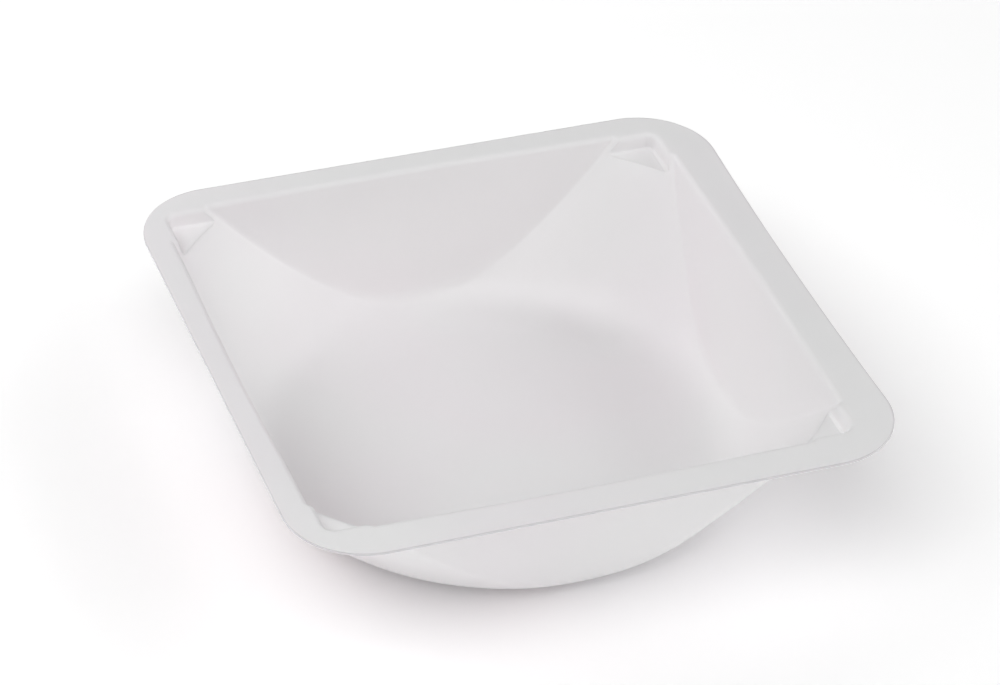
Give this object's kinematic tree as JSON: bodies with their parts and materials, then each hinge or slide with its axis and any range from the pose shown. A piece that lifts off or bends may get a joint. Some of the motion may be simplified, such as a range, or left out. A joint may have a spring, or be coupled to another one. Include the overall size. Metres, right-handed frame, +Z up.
{
  "type": "weighing boat",
  "caption": "Thin square plastic weighing dish with a round bowl cut by flat walls, a flat rim with rounded corners, and small corner shelves.",
  "frame": {"origin": "centre of the well's round flat base, on its underside", "axes": "+Z up out of the well, +X and +Y square to the rim's straight sides"},
  "size_m": [0.089, 0.089, 0.023],
  "materials": {
    "sheet": "white, slightly translucent, satin"
  },
  "bodies": {
    "root": {"weighing_boat": "sheet"}
  },
  "joints": []
}
